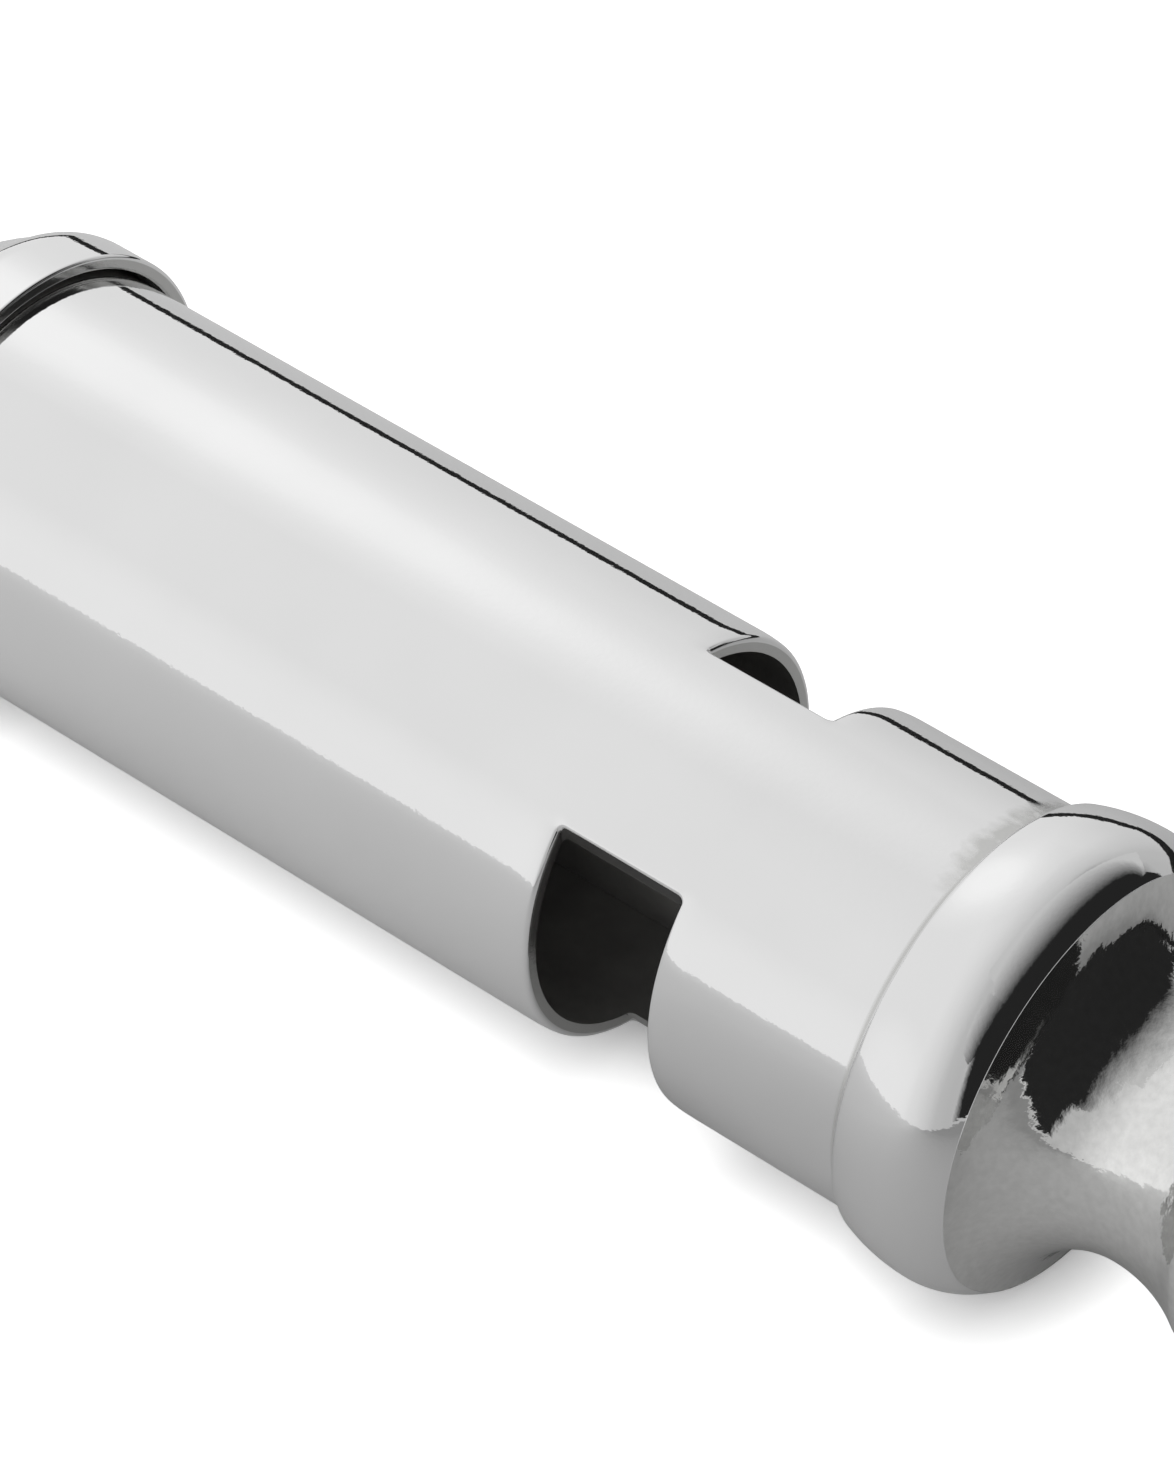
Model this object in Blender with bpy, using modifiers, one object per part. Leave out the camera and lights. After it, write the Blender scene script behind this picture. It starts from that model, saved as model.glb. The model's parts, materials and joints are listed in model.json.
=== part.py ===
"""Two-tone tube whistle lying on its side, modelled in Blender 4.5, in metres.

The whistle's axis is world X with the mouthpiece at +X. Along the axis, stations are measured
from the barrel's mouthpiece end, positive towards the mouth.
"""

import math

import bmesh
import bpy
from mathutils import Matrix, Vector

MM = 0.001

# Fineness: sides of the turned bodies, of the small loop and of wires; steps of round forms and of edges
FACETS = 48
SMALL_FACETS = 24
WIRE_FACETS = 10
ARC_STEP = math.radians(10.0)
EDGE_STEP = math.radians(30.0)
SHARP_ANGLE = math.radians(30.0)
MERGE_DISTANCE = 0.001 * MM

# Barrel: a drawn tube
BARREL_DIAMETER = 12.7 * MM
BARREL_WALL = 0.5 * MM
BARREL_LENGTH = 39.34 * MM

# Windows: a straight cut across each side of the barrel
WINDOW_SETBACK = 9.23 * MM
WINDOW_WIDTH = 4.29 * MM
WINDOW_DEPTH = 3.03 * MM
WINDOW_CORNER = 0.22 * MM

# Divider plate, end stops and fipple blocks inside the barrel
DIVIDER_THICKNESS = 0.5 * MM
STOP_THICKNESS = 0.8 * MM
SHORT_CHAMBER = 24.5 * MM
WINDWAY_ENTRY = 1.6 * MM
WINDWAY_EXIT = 1.1 * MM

# Mouthpiece: socket and bead over the barrel's end, waist, flared tip
SOCKET_DEPTH = 2.5 * MM
BEAD_RISE = 0.705 * MM
BEAD_SETBACK = 1.97 * MM
BEAD_FRONT_RADIUS = 2.54 * MM
BEAD_FRONT_SWEEP = math.radians(41.5)
SEAM_EDGE = 0.3 * MM
SEAM_FACE = 0.08 * MM
LEDGE = 0.45 * MM
WAIST_DIAMETER = 7.56 * MM
WAIST_FROM_SEAM = 6.92 * MM
NECK_WALL = 0.85 * MM
FLARE_RADIUS = 4.95 * MM
FLARE_SWEEP = math.radians(34.0)
LIP_RADIUS = 1.2 * MM
BORE_EDGE = 0.25 * MM

# End cap: rim and skirt over the barrel, rounded shoulder, domed crown
CAP_LAP = 1.6 * MM
CAP_WALL = 0.48 * MM
SKIRT_LENGTH = 1.44 * MM
SHOULDER_RADIUS = 1.34 * MM
SHOULDER_SWEEP = math.radians(48.3)
DOME_RISE = 4.14 * MM
RIM_EDGE = 0.12 * MM

# Suspension loop: riveted tenon, collar, stem and eye
TENON_DIAMETER = 1.8 * MM
TENON_HEAD_DIAMETER = 3.0 * MM
TENON_HEAD = 0.4 * MM
COLLAR_DIAMETER = 4.0 * MM
COLLAR_HEIGHT = 0.7 * MM
COLLAR_EDGE = 0.25 * MM
STEM_DIAMETER = 1.2 * MM
STEM_LENGTH = 0.4 * MM
EYE_HOLE = 3.2 * MM
EYE_WIRE = 1.4 * MM

# Suspension ring: bent from wire, its ends butted
RING_DIAMETER = 13.0 * MM
RING_WIRE = 1.2 * MM
RING_BUTT_GAP = 0.25 * MM
RING_BUTT_ANGLE = math.radians(130.0)

# Clearances of the soldered, pressed and running fits
SLIP = 0.05 * MM
CAP_CLEARANCE = 0.13 * MM
RUNNING = 0.05 * MM

# How far the whistle has rolled from windows level, as it lies
LYING_ROLL = math.radians(17.7)

# Sizes that follow from those above
BARREL_RADIUS = BARREL_DIAMETER / 2
BORE_RADIUS = BARREL_RADIUS - BARREL_WALL
INSERT_RADIUS = BORE_RADIUS - SLIP
SEAM = -SOCKET_DEPTH
BEAD_RADIUS = BARREL_RADIUS + BEAD_RISE
WAIST_RADIUS = WAIST_DIAMETER / 2
WAIST = SEAM + WAIST_FROM_SEAM
TIP = WAIST + FLARE_RADIUS * math.sin(FLARE_SWEEP) + LIP_RADIUS * (1 + math.sin(FLARE_SWEEP))
RIM = CAP_LAP - BARREL_LENGTH
CAP_RADIUS = BARREL_RADIUS + CAP_CLEARANCE + CAP_WALL
SHOULDER = RIM - SKIRT_LENGTH
CREASE = SHOULDER - SHOULDER_RADIUS * math.sin(SHOULDER_SWEEP)
CREASE_RADIUS = CAP_RADIUS - SHOULDER_RADIUS * (1 - math.cos(SHOULDER_SWEEP))
APEX = CREASE - DOME_RISE
DOME_RADIUS = (CREASE_RADIUS**2 + DOME_RISE**2) / (2 * DOME_RISE)
DOME_CENTRE = APEX + DOME_RADIUS
EYE_RADIUS = (EYE_HOLE + EYE_WIRE) / 2
EYE = APEX - COLLAR_HEIGHT - STEM_LENGTH - EYE_WIRE / 2 - EYE_RADIUS
RING_RADIUS = (RING_DIAMETER - RING_WIRE) / 2

# The bead lies on one flat of its facets, and the ring droops from the eye to the same level
AXIS_HEIGHT = BEAD_RADIUS * math.cos(math.pi / FACETS)
RING_DROP = (EYE_HOLE - RING_WIRE) / 2 - RUNNING
RING_HEIGHT = AXIS_HEIGHT - RING_DROP
RING_DROOP = math.asin((RING_HEIGHT - RING_WIRE / 2) / (2 * RING_RADIUS))
RING_REACH = 2 * RING_RADIUS * math.cos(RING_DROOP) + RING_WIRE / 2
MIDDLE = (TIP + EYE - RING_REACH) / 2


def clear_scene():
    for obj in list(bpy.data.objects):
        bpy.data.objects.remove(obj, do_unlink=True)


def new_collection(name):
    collection = bpy.data.collections.new(name)
    bpy.context.scene.collection.children.link(collection)
    return collection


def new_empty(name, collection, parent=None, location=(0, 0, 0), rotation=(0, 0, 0)):
    empty = bpy.data.objects.new(name, None)
    empty.empty_display_size = BARREL_RADIUS
    empty.parent = parent
    empty.location = location
    empty.rotation_euler = rotation
    collection.objects.link(empty)
    return empty


def metal(name, colour, roughness):
    material = bpy.data.materials.new(name)
    material.use_nodes = True
    shader = material.node_tree.nodes["Principled BSDF"]
    shader.inputs["Base Color"].default_value = (*colour, 1.0)
    shader.inputs["Metallic"].default_value = 1.0
    shader.inputs["Roughness"].default_value = roughness
    return material


def nickel(piece, roughness=0.1):
    return metal(f"{piece}_nickel_plate", (0.80, 0.79, 0.77), roughness)


def raw_brass(piece):
    return metal(f"{piece}_brass", (0.72, 0.54, 0.28), 0.35)


def add_mesh_object(name, mesh, collection, parent, material=None):
    obj = bpy.data.objects.new(name, mesh)
    obj.parent = parent
    if material:
        mesh.materials.append(material)
    collection.objects.link(obj)
    return obj


def add_bmesh_object(name, bm, collection, parent, material=None):
    mesh = bpy.data.meshes.new(name)
    bmesh.ops.recalc_face_normals(bm, faces=bm.faces)
    bm.to_mesh(mesh)
    bm.free()
    mesh.shade_smooth()
    mesh.set_sharp_from_angle(angle=SHARP_ANGLE)
    return add_mesh_object(name, mesh, collection, parent, material)


def as_cutter(obj):
    obj.hide_render = True
    obj.display_type = "WIRE"
    return obj


def add_boolean(obj, other, operation):
    modifier = obj.modifiers.new(other.name, "BOOLEAN")
    modifier.operation = operation
    modifier.solver = "EXACT"
    modifier.object = other


def divided(start, end, step):
    """Angles from start to end, in at least two pieces of about one step each."""
    pieces = max(2, round(abs(end - start) / step))
    return [start + (end - start) * i / pieces for i in range(pieces + 1)]


def arc(centre, radius, start, end, step=ARC_STEP):
    """Points (station, radius) on an arc; angle 0 is its outermost point, a quarter turn its +X point."""
    station, height = centre
    angles = divided(start, end, step)
    return [(station + radius * math.sin(a), height + radius * math.cos(a)) for a in angles]


def add_turned(name, profile, closed, facets, collection, parent, material):
    """Turns a profile of (station, radius) points about the axis; its outer side runs from +X to -X."""
    mesh = bpy.data.meshes.new(name)
    count = len(profile)
    edges = [(i, (i + 1) % count) for i in range(count if closed else count - 1)]
    mesh.from_pydata([(radius, 0, station) for station, radius in profile], edges, [])
    obj = add_mesh_object(name, mesh, collection, parent, material)
    obj.rotation_euler.z = math.pi / facets
    screw = obj.modifiers.new("Turn", "SCREW")
    screw.axis = "Z"
    screw.steps = facets
    screw.render_steps = facets
    screw.use_smooth_shade = True
    screw.use_merge_vertices = True
    screw.merge_threshold = MERGE_DISTANCE
    return obj


def is_inner(edge):
    """Whether an edge of the window's block runs across the barrel on the block's inner side."""
    start, end = (v.co for v in edge.verts)
    return start.y < 0 and end.y < 0 and start.z == end.z


def window_cutter(name, turn, collection, parent):
    """A block across the barrel whose two inner edges carry the milling tool's corner radius."""
    floor = BARREL_RADIUS - WINDOW_DEPTH
    reach = 2 * BARREL_RADIUS
    bm = bmesh.new()
    bmesh.ops.create_cube(bm, size=1.0)
    bmesh.ops.scale(bm, vec=(reach, reach, WINDOW_WIDTH), verts=bm.verts)
    inner = [e for e in bm.edges if is_inner(e)]
    pieces = round(math.pi / 2 / EDGE_STEP)
    bmesh.ops.bevel(bm, geom=inner, offset=WINDOW_CORNER, segments=pieces, profile=0.5, affect="EDGES")
    middle = -WINDOW_SETBACK - WINDOW_WIDTH / 2
    bmesh.ops.translate(bm, vec=(0, floor + reach / 2, middle), verts=bm.verts)
    cutter = as_cutter(add_bmesh_object(name, bm, collection, parent))
    cutter.rotation_euler.z = turn
    return cutter


def add_barrel(parts, cutters, rolled):
    outer = BARREL_RADIUS
    profile = [(0, outer), (-BARREL_LENGTH, outer), (-BARREL_LENGTH, BORE_RADIUS), (0, BORE_RADIUS)]
    barrel = add_turned("barrel", profile, True, FACETS, parts, rolled, nickel("barrel"))
    for name, turn in (("near_window", math.pi), ("far_window", 0)):
        add_boolean(barrel, window_cutter(name, turn, cutters, rolled), "DIFFERENCE")


def cut_flat(bm, point, normal):
    """Cuts away what lies beyond a plane and closes the cut with one face."""
    cut = bmesh.ops.bisect_plane(
        bm, geom=[*bm.verts, *bm.edges, *bm.faces], plane_co=point, plane_no=normal, clear_outer=True
    )
    edges = [e for e in cut["geom_cut"] if isinstance(e, bmesh.types.BMEdge)]
    bmesh.ops.contextual_create(bm, geom=edges)


def half_round(side, low, high):
    """A half-round bar that fits the barrel's bore on one side of the divider, between two stations."""
    bm = bmesh.new()
    bmesh.ops.create_cone(
        bm, cap_ends=True, segments=FACETS, radius1=INSERT_RADIUS, radius2=INSERT_RADIUS, depth=high - low
    )
    half_facet = Matrix.Rotation(math.pi / FACETS, 3, "Z")
    bmesh.ops.rotate(bm, cent=(0, 0, 0), matrix=half_facet, verts=bm.verts)
    bmesh.ops.translate(bm, vec=(0, 0, (low + high) / 2), verts=bm.verts)
    cut_flat(bm, (0, side * (DIVIDER_THICKNESS / 2 + SLIP), 0), (0, -side, 0))
    return bm


def add_fipple_block(name, side, parts, rolled):
    """A half-round block with a sloping flat: the air way over it narrows towards the window."""
    bm = half_round(side, -WINDOW_SETBACK, 0)
    slope = (WINDWAY_ENTRY - WINDWAY_EXIT) / WINDOW_SETBACK
    cut_flat(bm, (0, side * (BORE_RADIUS - WINDWAY_ENTRY), 0), Vector((0, side, slope)).normalized())
    add_bmesh_object(name, bm, parts, rolled, raw_brass(name))


def add_chamber_stop(name, side, high, parts, rolled):
    bm = half_round(side, high - STOP_THICKNESS, high)
    add_bmesh_object(name, bm, parts, rolled, raw_brass(name))


def add_divider(parts, rolled):
    width = 2 * math.sqrt(INSERT_RADIUS**2 - (DIVIDER_THICKNESS / 2) ** 2) * math.cos(math.pi / FACETS)
    bm = bmesh.new()
    bmesh.ops.create_cube(bm, size=1.0)
    bmesh.ops.scale(bm, vec=(width, DIVIDER_THICKNESS, BARREL_LENGTH), verts=bm.verts)
    bmesh.ops.translate(bm, vec=(0, 0, -BARREL_LENGTH / 2), verts=bm.verts)
    add_bmesh_object("chamber_divider", bm, parts, rolled, raw_brass("chamber_divider"))


def mouthpiece_outside():
    """The outer side from the tip to the seam: lip, flare, cove, crease, bead and seam edge."""
    flare_end = WAIST + FLARE_RADIUS * math.sin(FLARE_SWEEP)
    flare_top = WAIST_RADIUS + FLARE_RADIUS * (1 - math.cos(FLARE_SWEEP))
    lip = flare_end + LIP_RADIUS * math.sin(FLARE_SWEEP)
    lip_height = flare_top - LIP_RADIUS * math.cos(FLARE_SWEEP)
    points = arc((lip, lip_height), LIP_RADIUS, math.pi / 2, -FLARE_SWEEP)
    flare_centre = (WAIST, WAIST_RADIUS + FLARE_RADIUS)
    points += arc(flare_centre, FLARE_RADIUS, math.pi - FLARE_SWEEP, math.pi)[1:]

    cove, sweep = cove_arc()
    points += arc((WAIST, WAIST_RADIUS + cove), cove, math.pi, math.pi + sweep)[1:]
    bead = SEAM + BEAD_SETBACK
    points += arc((bead, BEAD_RADIUS - BEAD_FRONT_RADIUS), BEAD_FRONT_RADIUS, BEAD_FRONT_SWEEP, 0)[1:]

    rise = BEAD_RADIUS - SEAM_EDGE - (BARREL_RADIUS + SLIP + SEAM_FACE)
    run = BEAD_SETBACK - SEAM_EDGE
    back_sweep = 2 * math.atan2(rise, run)
    back_radius = SEAM_EDGE + run / math.sin(back_sweep)
    points += arc((bead, BEAD_RADIUS - back_radius), back_radius, 0, -back_sweep)[1:]
    edge_centre = (SEAM + SEAM_EDGE, BARREL_RADIUS + SLIP + SEAM_FACE)
    points += arc(edge_centre, SEAM_EDGE, -back_sweep, -math.pi / 2, EDGE_STEP)[1:]
    return points


def cove_arc():
    """Radius and sweep of the hollow between the bead's crease and the waist, level at the waist."""
    bead = SEAM + BEAD_SETBACK
    across = WAIST - bead - BEAD_FRONT_RADIUS * math.sin(BEAD_FRONT_SWEEP)
    down = BEAD_RADIUS - BEAD_FRONT_RADIUS * (1 - math.cos(BEAD_FRONT_SWEEP)) - WAIST_RADIUS
    radius = (across**2 + down**2) / (2 * down)
    return radius, math.atan2(across, radius - down)


def mouthpiece_inside():
    """The inner side from the seam to the tip: socket, ledge for the barrel, throat and bore."""
    socket = BARREL_RADIUS + SLIP
    plenum = BORE_RADIUS - LEDGE
    cove, _ = cove_arc()
    throat = cove + NECK_WALL
    throat_sweep = math.acos((WAIST_RADIUS + cove - plenum) / throat)
    bore = WAIST_RADIUS - NECK_WALL
    points = [(SEAM, socket), (SLIP, socket), (SLIP, plenum)]
    points += arc((WAIST, WAIST_RADIUS + cove), throat, math.pi + throat_sweep, math.pi)
    points += arc((TIP - BORE_EDGE, bore + BORE_EDGE), BORE_EDGE, math.pi, math.pi / 2, EDGE_STEP)
    return points


def add_mouthpiece(parts, lying):
    profile = mouthpiece_outside() + mouthpiece_inside()
    add_turned("mouthpiece", profile, True, FACETS, parts, lying, nickel("mouthpiece"))


def dome_arc(radius, edge, hole):
    """Points (station, radius) over the crown, from a polar angle at its edge to a hole at its apex."""
    angles = divided(edge, math.asin(hole / radius), ARC_STEP)
    return [(DOME_CENTRE - radius * math.cos(a), radius * math.sin(a)) for a in angles]


def add_end_cap(parts, lying):
    hole = TENON_DIAMETER / 2 + SLIP
    outer_rim = (RIM - RIM_EDGE, CAP_RADIUS - RIM_EDGE)
    inner_rim = (RIM - RIM_EDGE, CAP_RADIUS - CAP_WALL + RIM_EDGE)
    shoulder_centre = (SHOULDER, CAP_RADIUS - SHOULDER_RADIUS)
    crease_angle = math.atan2(CREASE_RADIUS, DOME_CENTRE - CREASE)
    profile = arc(outer_rim, RIM_EDGE, math.pi / 2, 0, EDGE_STEP)
    profile += arc(shoulder_centre, SHOULDER_RADIUS, 0, -SHOULDER_SWEEP)
    profile += dome_arc(DOME_RADIUS, crease_angle, hole)[1:]
    profile += dome_arc(DOME_RADIUS - CAP_WALL, crease_angle, hole)[::-1]
    profile += arc(shoulder_centre, SHOULDER_RADIUS - CAP_WALL, -SHOULDER_SWEEP, 0)
    profile += arc(inner_rim, RIM_EDGE, math.pi, math.pi / 2, EDGE_STEP)
    add_turned("end_cap", profile, True, FACETS, parts, lying, nickel("end_cap"))


def add_suspension_loop(parts, cutters, lying):
    """Turned stem with its riveted head inside the crown, joined to a wire eye."""
    tenon = TENON_DIAMETER / 2
    head = TENON_HEAD_DIAMETER / 2
    collar = COLLAR_DIAMETER / 2
    stem = STEM_DIAMETER / 2
    collar_top = APEX - COLLAR_HEIGHT
    seat_in = DOME_RADIUS - CAP_WALL - SLIP
    seat_out = DOME_RADIUS + SLIP
    under_head = dome_arc(seat_in, math.asin(head / seat_in), tenon)
    under_collar = dome_arc(seat_out, math.asin(collar / seat_out), tenon)[::-1]
    head_edge = under_head[0][0] + TENON_HEAD / 2
    head_top = under_head[0][0] + TENON_HEAD
    profile = [(head_top, 0), (head_top, tenon), (head_edge, head), *under_head, *under_collar]
    collar_centre = (collar_top + COLLAR_EDGE, collar - COLLAR_EDGE)
    profile += arc(collar_centre, COLLAR_EDGE, 0, -math.pi / 2, EDGE_STEP)
    profile += [(collar_top, stem), (EYE + EYE_RADIUS, stem), (EYE + EYE_RADIUS, 0)]
    plate = nickel("suspension_loop")
    loop = add_turned("suspension_loop", profile, False, SMALL_FACETS, parts, lying, plate)

    bpy.ops.mesh.primitive_torus_add(
        major_radius=EYE_RADIUS,
        minor_radius=EYE_WIRE / 2,
        major_segments=SMALL_FACETS,
        minor_segments=WIRE_FACETS,
    )
    eye = bpy.context.object
    eye.name = "eye"
    eye.users_collection[0].objects.unlink(eye)
    cutters.objects.link(eye)
    eye.parent = lying
    eye.location = (0, 0, EYE)
    eye.rotation_euler = (math.pi / 2, 0, 0)
    add_boolean(loop, as_cutter(eye), "UNION")


def add_suspension_ring(parts, pivot):
    """Wire ring whose near side passes through the eye, at the pivot."""
    gap = RING_BUTT_GAP / RING_RADIUS
    curve = bpy.data.curves.new("suspension_ring", "CURVE")
    curve.dimensions = "3D"
    curve.bevel_depth = RING_WIRE / 2
    curve.bevel_resolution = WIRE_FACETS // 2 - 2
    curve.use_fill_caps = True
    spline = curve.splines.new("POLY")
    spline.points.add(FACETS)
    for i, point in enumerate(spline.points):
        angle = RING_BUTT_ANGLE + gap / 2 + (2 * math.pi - gap) * i / FACETS
        point.co = (RING_RADIUS * (math.cos(angle) - 1), RING_RADIUS * math.sin(angle), 0, 1)
    curve.materials.append(nickel("suspension_ring", 0.15))
    ring = bpy.data.objects.new("suspension_ring", curve)
    ring.parent = pivot
    parts.objects.link(ring)


def main():
    clear_scene()
    parts = new_collection("tube_whistle")
    cutters = new_collection("cutters")
    lying = new_empty("lying_axis", parts, None, (-MIDDLE, 0, AXIS_HEIGHT), (0, math.pi / 2, 0))
    rolled = new_empty("rolled_barrel", parts, lying, (0, 0, 0), (0, 0, LYING_ROLL))
    pivot = new_empty("ring_pivot", parts, None, (EYE - MIDDLE, 0, RING_HEIGHT), (0, -RING_DROOP, 0))

    add_barrel(parts, cutters, rolled)
    add_divider(parts, rolled)
    add_fipple_block("near_fipple_block", -1, parts, rolled)
    add_fipple_block("far_fipple_block", 1, parts, rolled)
    add_chamber_stop("long_chamber_stop", -1, STOP_THICKNESS - BARREL_LENGTH, parts, rolled)
    add_chamber_stop("short_chamber_stop", 1, -WINDOW_SETBACK - SHORT_CHAMBER, parts, rolled)
    add_mouthpiece(parts, lying)
    add_end_cap(parts, lying)
    add_suspension_loop(parts, cutters, lying)
    add_suspension_ring(parts, pivot)


main()
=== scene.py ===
"""Looks of a two-tone tube whistle in polished nickel plate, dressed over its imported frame, in metres.

The whistle's axis runs along X with the mouthpiece at +X. Profiles are points (station, radius), with
stations measured from the barrel's mouthpiece end, positive towards the mouth. Angles round the barrel
are measured from the middle of the far window.
"""

import json
import math

import bmesh
import bpy
import numpy as np
from mathutils import Matrix, Vector


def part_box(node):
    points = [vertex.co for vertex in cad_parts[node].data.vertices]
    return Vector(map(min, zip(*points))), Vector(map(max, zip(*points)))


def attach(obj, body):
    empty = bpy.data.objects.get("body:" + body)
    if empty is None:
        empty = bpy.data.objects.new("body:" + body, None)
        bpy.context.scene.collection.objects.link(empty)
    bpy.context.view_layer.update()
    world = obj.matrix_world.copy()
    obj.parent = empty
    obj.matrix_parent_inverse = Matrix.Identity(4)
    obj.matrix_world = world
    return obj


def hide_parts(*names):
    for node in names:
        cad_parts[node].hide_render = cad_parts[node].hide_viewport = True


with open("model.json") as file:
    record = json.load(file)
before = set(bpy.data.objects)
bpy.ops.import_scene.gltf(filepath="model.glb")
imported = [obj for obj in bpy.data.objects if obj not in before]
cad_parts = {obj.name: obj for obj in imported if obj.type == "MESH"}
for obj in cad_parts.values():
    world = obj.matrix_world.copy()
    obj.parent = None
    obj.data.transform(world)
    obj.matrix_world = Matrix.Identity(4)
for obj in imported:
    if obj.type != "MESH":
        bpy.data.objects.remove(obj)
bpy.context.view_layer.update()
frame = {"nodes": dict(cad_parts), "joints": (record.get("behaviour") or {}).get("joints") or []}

MM = 0.001

# Fineness of the surfaces
SIDES = 288
WIRE_SIDES = 40
ARC_STEP = math.radians(3.0)
RIDGE_STEP = math.radians(15.0)
CREASE_ANGLE = math.radians(24.0)
WELD = 0.0002 * MM
POLE_RADIUS = WELD / 10

# Barrel's grid: points over a cut edge's round, the first step past it and how steps grow from there, then
# the coarsest step along the tube, round a window, along a window and round the strips between the windows
EDGE_POINTS = 8
FIRST_STEP = 0.03 * MM
STEP_GROWTH = 1.25
TUBE_STEP = 1.0 * MM
WINDOW_STEP = 0.25 * MM
CUT_STEP = 0.2 * MM
STRIP_STEP = 0.15 * MM

# Barrel and its windows
BARREL_RADIUS = 6.35 * MM
BARREL_WALL = 0.5 * MM
WINDOW_SETBACK = 9.23 * MM
WINDOW_WIDTH = 4.29 * MM
WINDOW_DEPTH = 3.03 * MM
WINDOW_CORNER = 0.22 * MM
WINDOW_EDGE = 0.14 * MM
WINDOWS = ((0, 1), (math.pi, -1))
BUFFED_DROP = 0.07 * MM
BUFFED_REACH = 0.9 * MM
LYING_ROLL = math.radians(17.7)

# Mouthpiece
BEAD_RISE = 0.705 * MM
BEAD_SETBACK = 1.97 * MM
BEAD_FRONT_RADIUS = 2.54 * MM
BEAD_FRONT_SWEEP = math.radians(41.5)
CREASE_RIDGE = 0.012 * MM
SEAM_EDGE = 0.3 * MM
SEAM_FACE = 0.08 * MM
LEDGE = 0.45 * MM
WAIST_RADIUS = 3.78 * MM
WAIST_FROM_SEAM = 6.92 * MM
NECK_WALL = 0.85 * MM
FLARE_RADIUS = 4.95 * MM
FLARE_SWEEP = math.radians(34.0)
LIP_RADIUS = 1.2 * MM
BORE_EDGE = 0.25 * MM

# End cap
CAP_WALL = 0.48 * MM
CAP_CLEARANCE = 0.13 * MM
SKIRT_LENGTH = 1.44 * MM
SHOULDER_RADIUS = 1.34 * MM
SHOULDER_SWEEP = math.radians(48.3)
DOME_RISE = 4.14 * MM
RIM_EDGE = 0.12 * MM

# Suspension loop and ring
TENON_RADIUS = 0.9 * MM
TENON_HEAD_RADIUS = 1.5 * MM
TENON_HEAD = 0.4 * MM
COLLAR_RADIUS = 2.0 * MM
COLLAR_HEIGHT = 0.7 * MM
COLLAR_EDGE = 0.25 * MM
STEM_RADIUS = 0.6 * MM
STEM_FILLET = 0.3 * MM
EYE_RADIUS = 2.3 * MM
EYE_WIRE_RADIUS = 0.7 * MM
RING_RADIUS = 5.9 * MM
RING_WIRE_RADIUS = 0.6 * MM
RING_BUTT_GAP = 0.25 * MM
RING_BUTT_ANGLE = math.radians(130.0)
RING_END_EDGE = 0.1 * MM
RING_END_POINTS = 6
SLIP = 0.05 * MM

# Places taken from the frame
barrel_low, barrel_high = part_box("barrel")
mouth_low, mouth_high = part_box("mouthpiece")
ORIGIN = barrel_high.x
AXIS_HEIGHT = (mouth_low.z + mouth_high.z) / 2
BARREL_LENGTH = barrel_high.x - barrel_low.x
SEAM = mouth_low.x - ORIGIN
TIP = mouth_high.x - ORIGIN
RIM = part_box("end_cap")[1].x - ORIGIN
HINGE = Vector(frame["joints"][0]["pos_m"])
EYE = HINGE.x - ORIGIN

# Sizes that follow from those above
BORE_RADIUS = BARREL_RADIUS - BARREL_WALL
WINDOW_FLOOR = BARREL_RADIUS - WINDOW_DEPTH
WINDOW_MIDDLE = -WINDOW_SETBACK - WINDOW_WIDTH / 2
BEAD_RADIUS = BARREL_RADIUS + BEAD_RISE
BEAD = SEAM + BEAD_SETBACK
WAIST = SEAM + WAIST_FROM_SEAM
CAP_RADIUS = BARREL_RADIUS + CAP_CLEARANCE + CAP_WALL
SHOULDER = RIM - SKIRT_LENGTH
CROWN = SHOULDER - SHOULDER_RADIUS * math.sin(SHOULDER_SWEEP)
CROWN_RADIUS = CAP_RADIUS - SHOULDER_RADIUS * (1 - math.cos(SHOULDER_SWEEP))
APEX = CROWN - DOME_RISE
DOME_RADIUS = (CROWN_RADIUS**2 + DOME_RISE**2) / (2 * DOME_RISE)
DOME_CENTRE = APEX + DOME_RADIUS
RING_DROOP = math.asin((HINGE.z - RING_WIRE_RADIUS) / (2 * RING_RADIUS))

# Pieces inside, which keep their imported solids
INNER_NODES = (
    "near_fipple_block",
    "far_fipple_block",
    "chamber_divider",
    "long_chamber_stop",
    "short_chamber_stop",
)

# Nickel plates: colour, roughness, heights of the ripple and of the waves, and depth and scale of the mottle
PLATES = {
    "polished_nickel": ((0.80, 0.80, 0.80), 0.03, 0.0015 * MM, 0.004 * MM, (0.03, 160)),
    "tube_nickel": ((0.80, 0.80, 0.80), 0.03, 0.0015 * MM, 0.004 * MM, (0.03, 160)),
    "hand_buffed_nickel": ((0.80, 0.80, 0.79), 0.05, 0.004 * MM, 0.05 * MM, (0.11, 4000)),
    "ring_nickel": ((0.78, 0.775, 0.765), 0.09, 0.002 * MM, 0.01 * MM, (0.03, 160)),
    "milled_nickel": ((0.52, 0.52, 0.51), 0.15, 0.004 * MM, 0.01 * MM, (0.03, 160)),
}
MOTTLE_LEVELS = (0.3, 0.7)
ROUGHNESS_SPREAD = (0.8, 1.3)
RIPPLE_SCALE = 6000.0
WAVE_SCALE = 700.0

# Pits in the plate: how many cells per metre, which cells have one, its share of a cell, and its tone
PIT_SCALE = 900.0
PIT_RARITY = 0.93
PIT_SIZE = 0.09
PIT_TONE = 0.6

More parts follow.
